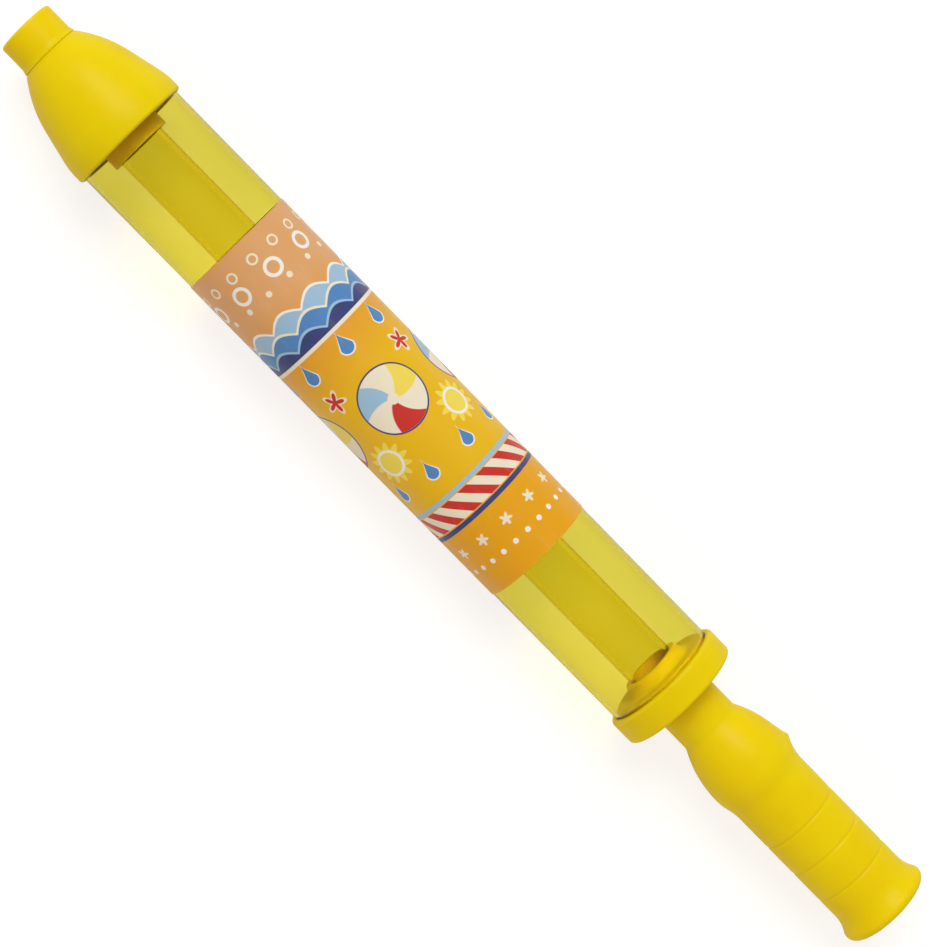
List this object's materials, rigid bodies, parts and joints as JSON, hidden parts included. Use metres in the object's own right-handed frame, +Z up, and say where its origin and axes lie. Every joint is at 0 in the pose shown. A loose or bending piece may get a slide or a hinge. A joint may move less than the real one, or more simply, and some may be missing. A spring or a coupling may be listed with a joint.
{
  "type": "water squirter",
  "caption": "Pull-back water squirter: a clear round barrel with a bottle-shaped nozzle cap and printed sleeve, and a sealed plunger drawn out of its back by a grooved, flared grip.",
  "frame": {"origin": "under the middle of the length, on the floor that the squirter lies on, with the plunger pushed home", "axes": "+X along the barrel towards the nozzle, +Z up, +Y to the left of someone who points the nozzle forwards"},
  "size_m": [0.3828, 0.0422, 0.0422],
  "materials": {
    "yellow_plastic": "satin moulded yellow",
    "clear_plastic": "clear yellow tint",
    "printed_film": "printed shrink film",
    "seal_rubber": "black rubber"
  },
  "bodies": {
    "barrel": {"nozzle_tip": "yellow_plastic", "nozzle_cap": "yellow_plastic", "front_gasket": "seal_rubber", "barrel_tube": "clear_plastic", "label_sleeve": "printed_film", "rear_cap": "yellow_plastic"},
    "seal": {"piston_ring": "seal_rubber"},
    "plunger": {"plunger_rod": "clear_plastic", "piston_head": "yellow_plastic", "handle_grip": "yellow_plastic", "handle_end_plug": "yellow_plastic"}
  },
  "joints": [
    {"name": "plunger_slide", "type": "slide", "parent": "barrel", "child": "seal", "axis": [-1, 0, 0], "range_m": [0, 0.2236]},
    {"name": "plunger_turn", "type": "hinge", "parent": "seal", "child": "plunger", "pos_m": [0, 0, 0.0211], "axis": [1, 0, 0], "continuous": true}
  ]
}
